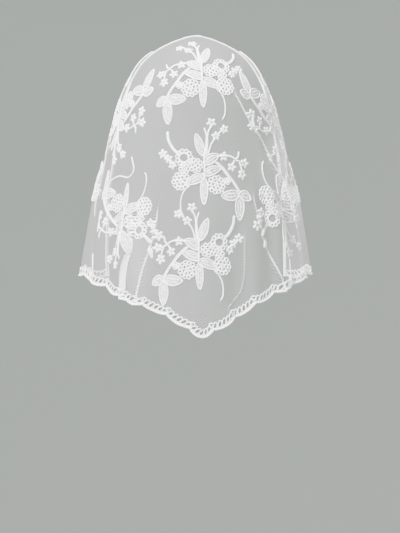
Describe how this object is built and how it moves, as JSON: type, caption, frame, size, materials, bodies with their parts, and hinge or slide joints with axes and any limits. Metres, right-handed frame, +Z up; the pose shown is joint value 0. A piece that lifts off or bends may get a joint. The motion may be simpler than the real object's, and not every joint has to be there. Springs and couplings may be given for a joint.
{
  "type": "lace headscarf",
  "caption": "Sheer tulle headscarf in its worn form: domed crown, soft folds, pointed back hem with a scalloped lace border, and embroidered flower sprays.",
  "frame": {"origin": "where the crown of the head touches the underside of the net", "axes": "+Z up out of the crown, -Y towards the pointed hem at the back, +Y out of the face opening, +X to the right seen from the back"},
  "size_m": [0.263, 0.191, 0.3389],
  "materials": {
    "tulle_net": "fine sheer hexagonal net, matt",
    "border_lace": "corded cotton lace, matt",
    "front_tape": "plain woven tape, matt",
    "embroidery_thread": "satin-stitched thread, soft sheen"
  },
  "bodies": {
    "root": {"net_panel": "tulle_net", "scalloped_border": "border_lace", "front_binding": "front_tape", "spray_back_upper": "embroidery_thread", "spray_back_middle": "embroidery_thread", "spray_back_lower": "embroidery_thread", "spray_left_upper": "embroidery_thread", "spray_left_lower": "embroidery_thread", "spray_right_upper": "embroidery_thread", "spray_right_lower": "embroidery_thread", "spray_left_side": "embroidery_thread", "spray_right_side": "embroidery_thread", "sprig_left_front": "embroidery_thread", "sprig_right_front": "embroidery_thread"}
  },
  "joints": []
}
